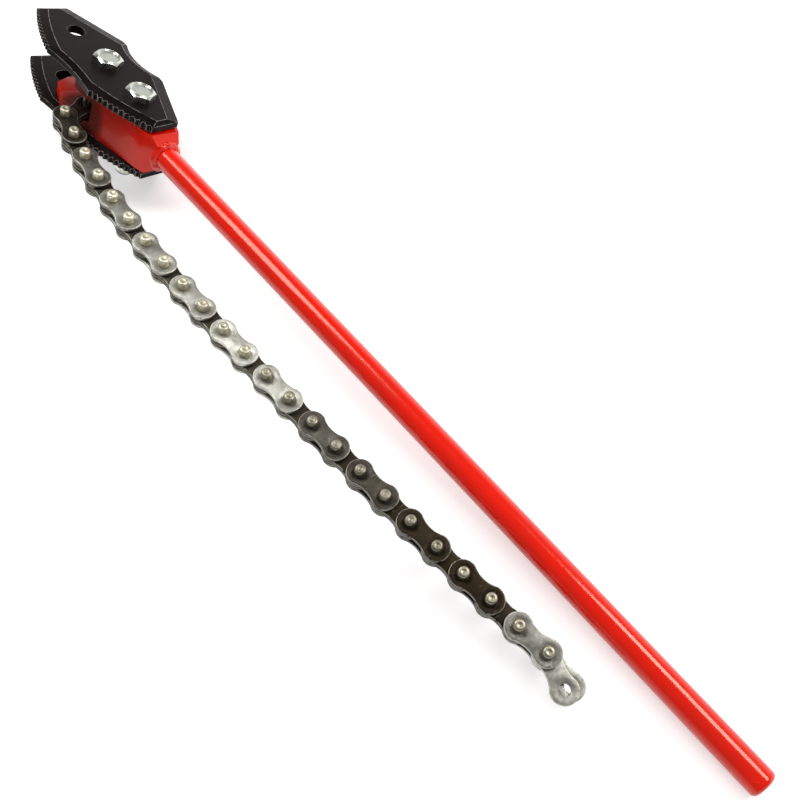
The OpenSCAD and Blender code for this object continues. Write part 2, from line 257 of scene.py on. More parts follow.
class WrenchStage(bpy.types.PropertyGroup):
    """Floor, light and camera"""

    floor: shade("Floor", "Colour of the floor", (0.86, 0.86, 0.86))
    sky: level("Sky", "Strength of the even light from all round", 0.47)
    backdrop: level("Backdrop", "Level of the background that is seen and reflected", 0.92)
    ceiling: level("Ceiling", "Level of the dim ceiling that is reflected", 0.14)
    key: level("Key", "Power of the soft lamp beside the handle", 25, "POWER")
    overhead: level("Overhead", "Power of the soft lamp over the head", 22, "POWER")
    lens: FloatProperty(
        name="Lens", description="Focal length of the camera", default=45, min=1, unit="CAMERA")


# Meshes

def plain_mesh(source, name):
    """The evaluated mesh of an object, as plain mesh data. The object is removed."""
    graph = bpy.context.evaluated_depsgraph_get()
    mesh = bpy.data.meshes.new_from_object(
        source.evaluated_get(graph), preserve_all_data_layers=True, depsgraph=graph)
    mesh.name = name
    old = source.data
    bpy.data.objects.remove(source)
    if old.users == 0:
        bpy.data.meshes.remove(old)
    return mesh


def show(name, mesh):
    piece = bpy.data.objects.new(name, mesh)
    bpy.context.scene.collection.objects.link(piece)
    return piece


def smooth(mesh, angle):
    mesh.polygons.foreach_set("use_smooth", [True] * len(mesh.polygons))
    mesh.set_sharp_from_angle(angle=math.radians(angle))


def store(mesh, name, values):
    layer = mesh.attributes.get(name) or mesh.attributes.new(name, "FLOAT", "FACE")
    layer.data.foreach_set("value", np.asarray(values, dtype=np.float32))


def settle(piece, material, node, tone=0.5):
    """Gives a finished piece its material and tone, and the body of the node it dresses."""
    mesh = piece.data
    mesh.materials.clear()
    mesh.materials.append(material)
    if "edge" not in mesh.attributes:
        store(mesh, "edge", np.zeros(len(mesh.polygons)))
    store(mesh, "tone", np.full(len(mesh.polygons), tone))
    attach(piece, BODY_OF[node])
    return piece


def rounded_copy(node, name, width, material, segments=3, crease=28, tone=0.5, shape=None):
    """A copy of a solid with rounded edges, which are marked in the attribute 'edge'.
    A given shape function may work on the bare copy first."""
    copy = show(name + "_blank", frame["nodes"][node].data.copy())
    shell = bmesh.new()
    shell.from_mesh(copy.data)
    bmesh.ops.remove_doubles(shell, verts=shell.verts, dist=1e-6)
    bmesh.ops.dissolve_degenerate(shell, edges=shell.edges, dist=1e-6)
    bmesh.ops.dissolve_limit(
        shell, angle_limit=math.radians(0.4), verts=shell.verts, edges=shell.edges)
    if shape:
        shape(shell)
    shell.to_mesh(copy.data)
    shell.free()
    if "custom_normal" in copy.data.attributes:
        copy.data.attributes.remove(copy.data.attributes["custom_normal"])
    copy.data.materials.clear()
    copy.data.materials.append(material)
    copy.data.materials.append(material)
    copy.data.polygons.foreach_set("material_index", [0] * len(copy.data.polygons))
    copy.data.polygons.foreach_set("use_smooth", [True] * len(copy.data.polygons))
    bevel = copy.modifiers.new("Rounded edges", "BEVEL")
    bevel.width = width
    bevel.segments = segments
    bevel.limit_method = "ANGLE"
    bevel.angle_limit = math.radians(crease)
    bevel.material = 1
    bevel.use_clamp_overlap = True
    even = copy.modifiers.new("Flat faces", "WEIGHTED_NORMAL")
    even.weight = 100
    mesh = plain_mesh(copy, name)
    strips = np.empty(len(mesh.polygons), dtype=np.int32)
    mesh.polygons.foreach_get("material_index", strips)
    store(mesh, "edge", strips)
    mesh.polygons.foreach_set("material_index", [0] * len(mesh.polygons))
    piece = settle(show(name, mesh), material, node, tone)
    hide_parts(node)
    return piece


def circle(r, count, x=0):
    """Points around a circle on the X axis, counterclockwise."""
    turns = [2 * math.pi * i / count for i in range(count)]
    return [(x + r * math.cos(a), r * math.sin(a)) for a in turns]


def stacked(shell, rings):
    """Joins rings of points, each to the next. Gives the vertices of the first and the last ring."""
    rings = [[shell.verts.new(point) for point in ring] for ring in rings]
    for lower, upper in zip(rings, rings[1:]):
        for i in range(len(lower)):
            j = (i + 1) % len(lower)
            shell.faces.new((lower[i], lower[j], upper[j], upper[i]))
    return rings[0], rings[-1]


def loose(shell, name, angle):
    """A closed shell as an object of its own."""
    bmesh.ops.recalc_face_normals(shell, faces=shell.faces)
    mesh = bpy.data.meshes.new(name)
    shell.to_mesh(mesh)
    shell.free()
    smooth(mesh, angle)
    return show(name, mesh)


def plate_outline(end_r, waist, steps=26):
    """Outline of a chain plate, counterclockwise, with the outward direction at each point."""
    half = PITCH / 2
    touch = (half ** 2 + waist ** 2 - end_r ** 2) / (2 * (end_r - waist))
    arc_r = 1.12 * touch
    lift = waist + arc_r
    apart = math.hypot(half, lift)
    toward = math.atan2(lift, half)
    turn = math.acos((apart ** 2 + end_r ** 2 - arc_r ** 2) / (2 * apart * end_r))
    leave = toward + turn
    points = []
    for i in range(steps + 1):
        a = leave + (2 * math.pi - 2 * leave) * i / steps
        points.append((end_r * math.cos(a), end_r * math.sin(a), math.cos(a), math.sin(a)))
    x, y = end_r * math.cos(leave), end_r * math.sin(leave)
    spread = math.atan2(half - x, lift - y)
    for i in range(1, 12):
        a = -spread + 2 * spread * i / 12
        points.append((half + arc_r * math.sin(a), -lift + arc_r * math.cos(a), -math.sin(a), -math.cos(a)))
    return points + [(PITCH - px, -py, -nx, -ny) for px, py, nx, ny in points]


def plate_pattern(end_r, waist, thick, holes, edge, lead):
    """One stamped plate with rounded edges and two holes, lying on z = 0, as a loose object."""
    shell = bmesh.new()
    outline = plate_outline(end_r, waist)
    rounds = [math.radians(a) for a in (0, 30, 60, 90)]
    walls = [(-edge * (1 - math.sin(a)), edge * (1 - math.cos(a))) for a in rounds]
    walls += [(inset, thick - z) for inset, z in reversed(walls)]

    loops = [stacked(shell, [
        [(x + nx * inset, y + ny * inset, z) for x, y, nx, ny in outline] for inset, z in walls])]
    for x, r in zip((0, PITCH), holes):
        loops.append(stacked(shell, [
            [(*point, z) for point in circle(r + grow, HOLE_SIDES, x)]
            for grow, z in ((lead, 0), (0, lead), (0, thick - lead), (lead, thick))]))
    for side in (0, 1):
        rim = []
        for loop in loops:
            verts = loop[side]
            rim += [shell.edges.get((verts[i], verts[(i + 1) % len(verts)])) for i in range(len(verts))]
        bmesh.ops.triangle_fill(shell, use_beauty=True, use_dissolve=False, edges=rim)
    pattern = loose(shell, "plate_pattern", 50)
    store(pattern.data, "edge", [0.1 < abs(face.normal.z) < 0.999 for face in pattern.data.polygons])
    return pattern


def turned_pattern(profile):
    """A turned piece around Z from pairs of radius and height, closed at both ends, as a loose object."""
    shell = bmesh.new()
    bottom, top = stacked(shell, [[(*point, z) for point in circle(r, PIN_SIDES)] for r, z in profile])
    shell.faces.new(list(reversed(bottom)))
    shell.faces.new(top)
    return loose(shell, "turned_pattern", 40)


# Geometry node trees

def wire(tree, source, output, target, into):
    tree.links.new(source.outputs[output], target.inputs[into])


def new_tree(name, inputs):
    """An empty geometry tree with named inputs. Gives the tree, its input node and the identifiers
    of its inputs by name."""
    tree = bpy.data.node_groups.new(name, "GeometryNodeTree")
    tree.is_modifier = True
    face = tree.interface
    face.new_socket("Geometry", in_out="INPUT", socket_type="NodeSocketGeometry")
    face.new_socket("Geometry", in_out="OUTPUT", socket_type="NodeSocketGeometry")
    names = {}
    for label, kind in inputs:
        names[label] = face.new_socket(label, in_out="INPUT", socket_type=kind).identifier
    return tree, tree.nodes.new("NodeGroupInput"), names


def finish_tree(tree, geometry, given):
    """Ends a tree in Realize Instances and Set Material."""
    real = tree.nodes.new("GeometryNodeRealizeInstances")
    skin = tree.nodes.new("GeometryNodeSetMaterial")
    tree.links.new(geometry, real.inputs["Geometry"])
    wire(tree, real, "Geometry", skin, "Geometry")
    wire(tree, given, "Material", skin, "Material")
    wire(tree, skin, "Geometry", tree.nodes.new("NodeGroupOutput"), "Geometry")


def row_tree():
    """Copies of a pattern in a row: plates on their layers, pins on their centres."""
    tree, given, names = new_tree("Row of Pieces", [
        ("Pattern", "NodeSocketObject"), ("Count", "NodeSocketInt"), ("Start", "NodeSocketVector"),
        ("Step", "NodeSocketVector"), ("Material", "NodeSocketMaterial")])
    line = tree.nodes.new("GeometryNodeMeshLine")
    line.mode = "OFFSET"
    pattern = tree.nodes.new("GeometryNodeObjectInfo")
    copies = tree.nodes.new("GeometryNodeInstanceOnPoints")
    wire(tree, given, "Count", line, "Count")
    wire(tree, given, "Start", line, "Start Location")
    wire(tree, given, "Step", line, "Offset")
    wire(tree, given, "Pattern", pattern, "Object")
    wire(tree, line, "Mesh", copies, "Points")
    wire(tree, pattern, "Geometry", copies, "Instance")
    finish_tree(tree, copies.outputs["Instances"], given)
    return tree, names


def bead_tree():
    """A weld bead: overlapping ripples around a ring, each a little different."""
    tree, given, names = new_tree("Weld Bead", [
        ("Ring Radius", "NodeSocketFloat"), ("Lumps", "NodeSocketInt"), ("Size", "NodeSocketFloat"),
        ("Seed", "NodeSocketInt"), ("Material", "NodeSocketMaterial")])
    ring = tree.nodes.new("GeometryNodeCurvePrimitiveCircle")
    ring.inputs["Resolution"].default_value = 96
    spots = tree.nodes.new("GeometryNodeCurveToPoints")
    spots.mode = "COUNT"
    lump = tree.nodes.new("GeometryNodeMeshIcoSphere")
    lump.inputs["Subdivisions"].default_value = 3
    vary = tree.nodes.new("FunctionNodeRandomValue")
    vary.data_type = "FLOAT_VECTOR"
    vary.inputs[0].default_value = (0.72, 0.70, 1.2)
    vary.inputs[1].default_value = (1.20, 1.15, 2.0)
    copies = tree.nodes.new("GeometryNodeInstanceOnPoints")
    soft = tree.nodes.new("GeometryNodeSetShadeSmooth")
    wire(tree, given, "Ring Radius", ring, "Radius")
    wire(tree, ring, "Curve", spots, "Curve")
    wire(tree, given, "Lumps", spots, "Count")
    wire(tree, given, "Size", lump, "Radius")
    wire(tree, given, "Seed", vary, "Seed")
    wire(tree, spots, "Points", copies, "Points")
    wire(tree, spots, "Rotation", copies, "Rotation")
    wire(tree, lump, "Mesh", soft, "Geometry")
    wire(tree, soft, "Geometry", copies, "Instance")
    tree.links.new(vary.outputs[0], copies.inputs["Scale"])
    finish_tree(tree, copies.outputs["Instances"], given)
    return tree, names


def thread_tree():
    """A screw thread: a V ridge swept along a spiral."""
    tree, given, names = new_tree("Screw Thread", [
        ("Radius", "NodeSocketFloat"), ("Height", "NodeSocketFloat"), ("Turns", "NodeSocketFloat"),
        ("Ridge", "NodeSocketFloat"), ("Material", "NodeSocketMaterial")])
    spiral = tree.nodes.new("GeometryNodeCurveSpiral")
    spiral.inputs["Resolution"].default_value = 40
    ridge = tree.nodes.new("GeometryNodeCurvePrimitiveCircle")
    ridge.inputs["Resolution"].default_value = 6
    sweep = tree.nodes.new("GeometryNodeCurveToMesh")
    sweep.inputs["Fill Caps"].default_value = True
    wire(tree, given, "Radius", spiral, "Start Radius")
    wire(tree, given, "Radius", spiral, "End Radius")
    wire(tree, given, "Height", spiral, "Height")
    wire(tree, given, "Turns", spiral, "Rotations")
    wire(tree, given, "Ridge", ridge, "Radius")
    wire(tree, spiral, "Curve", sweep, "Curve")
    wire(tree, ridge, "Curve", sweep, "Profile Curve")
    finish_tree(tree, sweep.outputs["Mesh"], given)
    return tree, names


TREES = {}


def grown(tree_name, values, name, place):
    """The plain mesh that a tree grows from the given values, moved to its place."""
    if tree_name not in TREES:
        TREES[tree_name] = {"row": row_tree, "bead": bead_tree, "thread": thread_tree}[tree_name]()
    tree, names = TREES[tree_name]
    source = show(name + "_source", bpy.data.meshes.new(name + "_source"))
    modifier = source.modifiers.new("Nodes", "NODES")
    modifier.node_group = tree
    for label, value in values.items():
        modifier[names[label]] = value
    mesh = plain_mesh(source, name)
    if not mesh.polygons:
        raise RuntimeError("the tree %s gave no faces for %s" % (tree_name, name))
    mesh.transform(place)
    return mesh


# Shader node groups

def shader_group(name, numbers, outputs):
    """An empty shader group with a vector and number inputs. Gives the group, its inputs and its end."""
    group = bpy.data.node_groups.new(name, "ShaderNodeTree")
    face = group.interface
    face.new_socket("Vector", in_out="INPUT", socket_type="NodeSocketVector")
    for label, value in numbers.items():
        socket = face.new_socket(label, in_out="INPUT", socket_type="NodeSocketFloat")
        socket.default_value = value
    for label in outputs:
        face.new_socket(label, in_out="OUTPUT", socket_type="NodeSocketFloat")
    given = group.nodes.new("NodeGroupInput").outputs[:len(numbers) + 1]
    return group, given, group.nodes.new("NodeGroupOutput")


def noise(tree, vector, scale, detail=3.0, roughness=0.55, distortion=0.0):
    texture = tree.nodes.new("ShaderNodeTexNoise")
    texture.inputs["Detail"].default_value = detail
    texture.inputs["Roughness"].default_value = roughness
    texture.inputs["Distortion"].default_value = distortion
    tree.links.new(vector, texture.inputs["Vector"])
    if isinstance(scale, (int, float)):
        texture.inputs["Scale"].default_value = scale
    else:
        tree.links.new(scale, texture.inputs["Scale"])
    return texture.outputs["Fac"]


def math_node(tree, operation, first, second, clamp=False):
    step = tree.nodes.new("ShaderNodeMath")
    step.operation = operation
    step.use_clamp = clamp
    for socket, value in zip(step.inputs, (first, second)):
        if isinstance(value, (int, float)):
            socket.default_value = value
        else:
            tree.links.new(value, socket)
    return step.outputs[0]


def times(tree, first, second):
    return math_node(tree, "MULTIPLY", first, second)


def plus(tree, first, second, clamp=False):
    return math_node(tree, "ADD", first, second, clamp)


def minus(tree, first, second):
    return math_node(tree, "SUBTRACT", first, second)


def greater(tree, first, second):
    return math_node(tree, "MAXIMUM", first, second)


def between(tree, value, low, high, to_low=0.0, to_high=1.0):
    """Maps a value from one range to another, clamped and eased."""
    step = tree.nodes.new("ShaderNodeMapRange")
    step.interpolation_type = "SMOOTHSTEP"
    tree.links.new(value, step.inputs["Value"])
    for label, number in zip(("From Min", "From Max", "To Min", "To Max"), (low, high, to_low, to_high)):
        if isinstance(number, (int, float)):
            step.inputs[label].default_value = number
        else:
            tree.links.new(number, step.inputs[label])
    return step.outputs["Result"]


def mixed(tree, factor, first, second):
    """Mixes two colours; each may be a socket or an RGB triple."""
    step = tree.nodes.new("ShaderNodeMix")
    step.data_type = "RGBA"
    step.clamp_factor = True
    tree.links.new(factor, step.inputs[0])
    for socket, value in zip((step.inputs[6], step.inputs[7]), (first, second)):
        if hasattr(value, "is_output"):
            tree.links.new(value, socket)
        else:
            socket.default_value = (*value, 1.0)
    return step.outputs[2]


def patches_group():
    """Soft patches at two sizes: uneven tone, thin oil, handling marks."""
    group, (vector, scale, cover), out = shader_group(
        "Patches", {"Scale": 20.0, "Cover": 0.5}, ("Mask",))
    wide = noise(group, vector, scale, 4.0, 0.6, 0.6)
    close = noise(group, vector, times(group, scale, 5.3), 3.0)
    both = plus(group, times(group, wide, 0.72), times(group, close, 0.28))
    low = minus(group, 0.78, times(group, cover, 0.56))
    mask = between(group, both, minus(group, low, 0.12), plus(group, low, 0.12))
    group.links.new(mask, out.inputs["Mask"])
    return group


def scratches_group():
    """Fine scratches: thin cell borders, bent and broken up."""
    group, (vector, scale, width, cover), out = shader_group(
        "Scratches", {"Scale": 60.0, "Width": 0.02, "Cover": 0.4}, ("Mask",))
    stretch = group.nodes.new("ShaderNodeMapping")
    stretch.inputs["Rotation"].default_value = (0.5, 0.3, 0.7)
    stretch.inputs["Scale"].default_value = (1.0, 0.35, 0.6)
    group.links.new(vector, stretch.inputs["Vector"])
    cells = group.nodes.new("ShaderNodeTexVoronoi")
    cells.feature = "DISTANCE_TO_EDGE"
    group.links.new(stretch.outputs["Vector"], cells.inputs["Vector"])
    group.links.new(scale, cells.inputs["Scale"])
    line = between(group, cells.outputs["Distance"], 0.0, width, 1.0, 0.0)
    part = noise(group, vector, times(group, scale, 0.45), 3.0)
    low = minus(group, 0.80, times(group, cover, 0.55))
    there = between(group, part, low, plus(group, low, 0.1))
    group.links.new(times(group, line, there), out.inputs["Mask"])
    return group


def edge_wear_group():
    """Rubbed edges: the marked edge strips, broken up by noise."""
    group, (vector, edge, scale, amount), out = shader_group(
        "Edge Wear", {"Edge": 0.0, "Scale": 90.0, "Amount": 0.5}, ("Mask",))
    chips = noise(group, vector, scale, 5.0, 0.65)
    low = minus(group, 0.80, times(group, amount, 0.6))
    mask = between(group, chips, low, plus(group, low, 0.14))
    group.links.new(times(group, mask, edge), out.inputs["Mask"])
    return group


def skin_group():
    """Height of a surface skin: soft swell, fine grain and pits."""
    group, (vector, swell_scale, grain_scale, share), out = shader_group(
        "Surface Skin", {"Swell Scale": 150.0, "Grain Scale": 1500.0, "Grain": 0.3}, ("Height", "Grain"))
    swell = noise(group, vector, swell_scale, 2.0)
    grain = noise(group, vector, grain_scale, 4.0, 0.65)
    height = plus(group, swell, times(group, grain, share))
    group.links.new(height, out.inputs["Height"])
    group.links.new(grain, out.inputs["Grain"])
    return group


GROUPS = {}


def placed(tree, kind, vector, **values):
    """Places a shader group in a material, with its own values."""
    makers = {"Patches": patches_group, "Scratches": scratches_group,
              "Edge Wear": edge_wear_group, "Surface Skin": skin_group}
    if kind not in GROUPS:
        GROUPS[kind] = makers[kind]()
    node = tree.nodes.new("ShaderNodeGroup")
    node.node_tree = GROUPS[kind]
    tree.links.new(vector, node.inputs["Vector"])
    for label, value in values.items():
        socket = node.inputs[label.replace("_", " ")]
        if hasattr(value, "is_output"):
            tree.links.new(value, socket)
        else:
            socket.default_value = value
    return node


def new_material(name):
    """A material with its shader, Object coordinates and the attributes of its surface."""
    material = bpy.data.materials.new(name)
    material.use_nodes = True
    tree = material.node_tree
    shader = next(n for n in tree.nodes if n.bl_idname == "ShaderNodeBsdfPrincipled")
    vector = tree.nodes.new("ShaderNodeTexCoord").outputs["Object"]
    marks = []
    for label in ("edge", "tone"):
        mark = tree.nodes.new("ShaderNodeAttribute")
        mark.attribute_name = label
        marks.append(mark.outputs["Fac"])
    return material, tree, shader, vector, marks[0], marks[1]


def bump(tree, shader, height, distance):
    relief = tree.nodes.new("ShaderNodeBump")
    relief.inputs["Strength"].default_value = 1.0
    relief.inputs["Distance"].default_value = distance
    tree.links.new(height, relief.inputs["Height"])
    wire(tree, relief, "Normal", shader, "Normal")


def near(tree, vector, point, inside, outside):
    """1 around a point, fading to 0 at a distance."""
    apart = tree.nodes.new("ShaderNodeVectorMath")
    apart.operation = "DISTANCE"
    tree.links.new(vector, apart.inputs[0])
    apart.inputs[1].default_value = point
    return between(tree, apart.outputs["Value"], inside, outside, 1.0, 0.0)


def red_enamel(colours):
    """Glossy red enamel: slight orange peel, deeper in places, scuffed, rubbed on forged edges,
    darkened as painted shade around the chain's anchor and along the block beyond it."""
    material, tree, shader, vector, edge, _ = new_material("red_enamel")
    deep = placed(tree, "Patches", vector, Scale=16.0, Cover=0.45).outputs["Mask"]
    wear = placed(tree, "Edge Wear", vector, Edge=edge, Scale=120.0, Amount=0.20).outputs["Mask"]
    scuff = placed(tree, "Scratches", vector, Scale=38.0, Width=0.012, Cover=0.22).outputs["Mask"]
    skin = placed(tree, "Surface Skin", vector, Swell_Scale=210.0, Grain_Scale=900.0, Grain=0.18)
    paint = mixed(tree, times(tree, deep, 0.35), colours.paint, colours.paint_deep)
    rubbed = mixed(tree, times(tree, scuff, 0.35), paint, (0.80, 0.10, 0.06))
    worn = mixed(tree, times(tree, wear, 0.8), rubbed, colours.bare)
    # Painted shade: the paint darkens near the chain's anchor and, more softly, along the block beyond it,
    # where the upper jaw and the chain cast shadow
    reach = bpy.context.scene.wrench_sizes.anchor_shade_reach
    anchor = joint_point("anchor_swing")
    anchor_shaded = times(tree, near(tree, vector, anchor, 0.55 * reach, reach), 0.9)
    beyond = anchor + HEAD.col[0] * 0.5 * reach
    darkening = times(tree, near(tree, vector, beyond, 0.5 * reach, 1.7 * reach), 0.4)
    colour = mixed(tree, greater(tree, anchor_shaded, darkening), worn, colours.anchor_shade)
    tree.links.new(colour, shader.inputs["Base Color"])
    dull = greater(tree, wear, greater(tree, anchor_shaded, darkening))
    rough = plus(tree, between(tree, deep, 0.0, 1.0, 0.17, 0.25), between(tree, dull, 0.0, 0.9, 0.0, 0.5))
    rough = plus(tree, rough, times(tree, scuff, 0.2), clamp=True)
    tree.links.new(rough, shader.inputs["Roughness"])
    tree.links.new(between(tree, dull, 0.0, 0.9, 0.42, 0.0), shader.inputs["Coat Weight"])
    shader.inputs["Coat Roughness"].default_value = 0.08
    shader.inputs["Specular IOR Level"].default_value = 0.38
    shader.inputs["Specular Tint"].default_value = (1.0, 0.76, 0.5, 1.0)
    bump(tree, shader, skin.outputs["Height"], 0.00008)
    return material


def black_enamel(colours):
    """Black enamel on a forging: glossy, lightly pocked, rubbed brown along edges and teeth, with grey
    edges that are partly rubbed bare and partly a painted glint.
    """
    material, tree, shader, vector, edge, _ = new_material("black_enamel")
    patch = placed(tree, "Patches", vector, Scale=45.0, Cover=0.45).outputs["Mask"]
    wear = placed(tree, "Edge Wear", vector, Edge=edge, Scale=150.0, Amount=0.68).outputs["Mask"]
    scuff = placed(tree, "Scratches", vector, Scale=75.0, Width=0.02, Cover=0.35).outputs["Mask"]
    skin = placed(tree, "Surface Skin", vector, Swell_Scale=120.0, Grain_Scale=800.0, Grain=0.35)
    thin = mixed(tree, times(tree, patch, 0.30), colours.enamel, colours.enamel_worn)
    rubbed = mixed(tree, times(tree, scuff, 0.5), thin, colours.enamel_worn)
    # The edges turn grey: partly rubbed bare, partly a painted glint of their reflections
    colour = mixed(tree, times(tree, wear, 0.8), rubbed, colours.bared_enamel_and_glint)
    tree.links.new(colour, shader.inputs["Base Color"])
    rough = between(tree, patch, 0.0, 1.0, 0.30, 0.44)
    rough = plus(tree, rough, times(tree, scuff, 0.15), clamp=True)
    tree.links.new(rough, shader.inputs["Roughness"])
    tree.links.new(between(tree, edge, 0.0, 1.0, 0.06, 0.9), shader.inputs["Coat Weight"])
    shader.inputs["Coat Roughness"].default_value = 0.15
    shader.inputs["Specular IOR Level"].default_value = 0.045
    shader.inputs["Coat Tint"].default_value = (1.0, 0.93, 0.88, 1.0)
    bump(tree, shader, skin.outputs["Height"], 0.00010)
    return material


def zinc_plate(colours):
    """Bright zinc: pale grey-green metal, cloudy, with fine tool marks."""
    material, tree, shader, vector, edge, _ = new_material("zinc_plate")
    cloud = placed(tree, "Patches", vector, Scale=110.0, Cover=0.5).outputs["Mask"]
    scuff = placed(tree, "Scratches", vector, Scale=170.0, Width=0.03, Cover=0.45).outputs["Mask"]
    wear = placed(tree, "Edge Wear", vector, Edge=edge, Scale=260.0, Amount=0.6).outputs["Mask"]
    skin = placed(tree, "Surface Skin", vector, Swell_Scale=300.0, Grain_Scale=2400.0, Grain=0.2)
    dull = tuple(0.62 * c for c in colours.zinc)
    bright = tuple(min(1.0, 1.3 * c) for c in colours.zinc)
    base = mixed(tree, times(tree, cloud, 0.4), colours.zinc, dull)
    lined = mixed(tree, times(tree, scuff, 0.2), base, dull)
    colour = mixed(tree, wear, lined, bright)
    tree.links.new(colour, shader.inputs["Base Color"])
    shader.inputs["Metallic"].default_value = 1.0
    tree.links.new(between(tree, cloud, 0.0, 1.0, 0.24, 0.36), shader.inputs["Roughness"])
    bump(tree, shader, skin.outputs["Height"], 0.00004)
    return material


def chain_plate_steel(colours):
    """Stamped steel plates: satin grey with patches of old oil, brighter on rubbed edges; their tone paints
    light and shade along the chain.
    """
    material, tree, shader, vector, edge, tone = new_material("chain_plate_steel")
    darkening = placed(tree, "Patches", vector, Scale=55.0, Cover=0.45).outputs["Mask"]
    scuff = placed(tree, "Scratches", vector, Scale=140.0, Width=0.035, Cover=0.5).outputs["Mask"]
    wear = placed(tree, "Edge Wear", vector, Edge=edge, Scale=200.0, Amount=0.75).outputs["Mask"]
    skin = placed(tree, "Surface Skin", vector, Swell_Scale=260.0, Grain_Scale=1700.0, Grain=0.55)
    # The tone paints light and shade along the chain: low tones turn the steel as dark as the oil
    plate = mixed(tree, tone, colours.plate_oil_and_shade, colours.plate)
    oiled = mixed(tree, times(tree, darkening, 0.45), plate, colours.plate_oil_and_shade)
    rubbed = tuple(min(1.0, 1.35 * c) for c in colours.plate)
    lined = mixed(tree, times(tree, scuff, between(tree, tone, 0.0, 0.5, 0.1, 0.35)), oiled, rubbed)
    bared = times(tree, wear, between(tree, tone, 0.0, 0.6, 0.35, 0.7))
    colour = mixed(tree, bared, lined, rubbed)
    tree.links.new(colour, shader.inputs["Base Color"])
    shader.inputs["Metallic"].default_value = 1.0
    grain = times(tree, skin.outputs["Grain"], 0.12)
    rough = plus(tree, between(tree, darkening, 0.0, 1.0, 0.40, 0.52), grain, clamp=True)
    tree.links.new(rough, shader.inputs["Roughness"])
    bump(tree, shader, skin.outputs["Height"], 0.00016)
    return material


def riveted_pin_steel(colours):
    """Pins: straw-coloured steel, bright on the riveted rims, dark in the dimples and oil patches; their
    tone paints light and shade along the chain.
    """
    material, tree, shader, vector, edge, tone = new_material("riveted_pin_steel")
    darkening = placed(tree, "Patches", vector, Scale=130.0, Cover=0.42).outputs["Mask"]
    scuff = placed(tree, "Scratches", vector, Scale=260.0, Width=0.04, Cover=0.5).outputs["Mask"]
    skin = placed(tree, "Surface Skin", vector, Swell_Scale=500.0, Grain_Scale=2600.0, Grain=0.4)
    dull = tuple(0.5 * c for c in colours.pin)
    # The tone paints light and shade along the chain, towards the dark oiled colour
    bare = mixed(tree, tone, colours.plate_oil_and_shade, colours.pin)
    base = mixed(tree, times(tree, darkening, 0.35), bare, dull)
    lined = mixed(tree, times(tree, scuff, 0.25), base, dull)
    colour = mixed(tree, times(tree, edge, 0.3), lined, (0.20, 0.17, 0.11))
    tree.links.new(colour, shader.inputs["Base Color"])
    shader.inputs["Metallic"].default_value = 1.0
    tree.links.new(between(tree, darkening, 0.0, 1.0, 0.38, 0.50), shader.inputs["Roughness"])
    bump(tree, shader, skin.outputs["Height"], 0.00005)
    return material


MATERIALS = {}


def finish_of(name):
    makers = {"red": red_enamel, "black": black_enamel, "zinc": zinc_plate,
              "plate": chain_plate_steel, "pin": riveted_pin_steel}
    if name not in MATERIALS:
        MATERIALS[name] = makers[name](bpy.context.scene.wrench_colours)
    return MATERIALS[name]


# Pieces

class WRENCH_OT_handle(bpy.types.Operator):
    """Handle bar and forged head with rounded edges and a weld bead between them"""

    bl_idname = "wrench.handle"
    bl_label = "Handle and Head"

    def execute(self, context):
        sizes = context.scene.wrench_sizes
        red = finish_of("red")
        rounded_copy("handle", "handle_and_head", sizes.forging_edge, red)
        bar = MOUNTS["handle_end"]
        bar_r = bar["dims"]["r_mm"] * MM
        start = Vector(bar["pos_m"]) - HEAD.col[0] * bar["dims"]["length_mm"] * MM / 2
        start -= HEAD.col[0] * sizes.bead_size * 0.9
        place = HEAD.to_4x4() @ Matrix.Rotation(math.radians(90), 4, "Y")
        place.translation = start
        mesh = grown("bead", {
            "Ring Radius": bar_r + BEAD_LIFT, "Lumps": sizes.bead_lumps, "Size": sizes.bead_size,
            "Seed": BEAD_SEED, "Material": red}, "weld_bead", place)
        settle(show("weld_bead", mesh), red, "handle")
        return {"FINISHED"}


def punch_taper(shell):
    """Widens the spare hole of a jaw towards the head, as a punched hole is."""
    across = HEAD.inverted()
    spare = MOUNTS["jaw_hole"]["dims"]
    hole_r = spare["r_mm"] * MM
    widen = 1 + bpy.context.scene.wrench_sizes.hole_taper / hole_r
    places = {vert: across @ vert.co for vert in shell.verts}
    rim = {vert: at for vert, at in places.items() if abs(math.hypot(at.x, at.y) - hole_r) < SLACK}
    inner = min(abs(at.z) for at in rim.values())
    for vert, at in rim.items():
        if abs(at.z) < inner + SLACK:
            vert.co = HEAD @ Vector((at.x * widen, at.y * widen, at.z))


class WRENCH_OT_jaws(bpy.types.Operator):
    """The two toothed jaws with rounded edges"""

    bl_idname = "wrench.jaws"
    bl_label = "Jaws"

    def execute(self, context):
        sizes = context.scene.wrench_sizes
        for node in ("upper_jaw", "lower_jaw"):
            rounded_copy(node, node + "_forging", sizes.jaw_edge, finish_of("black"), segments=2, crease=12,
                         shape=punch_taper)
        return {"FINISHED"}


def dish_heads(shell):
    """Sinks the middle of the bolt heads' tops, as cold forging leaves them."""
    sizes = bpy.context.scene.wrench_sizes
    up = HEAD.col[2]
    highest = max(vert.co.dot(up) for vert in shell.verts)
    tops = [face for face in shell.faces
            if face.normal.dot(up) > 0.99 and face.calc_center_median().dot(up) > highest - SLACK]
    bmesh.ops.inset_region(shell, faces=tops, thickness=sizes.dish_rim, depth=0)
    bmesh.ops.inset_region(shell, faces=tops, thickness=sizes.dish_depth, depth=-sizes.dish_depth)


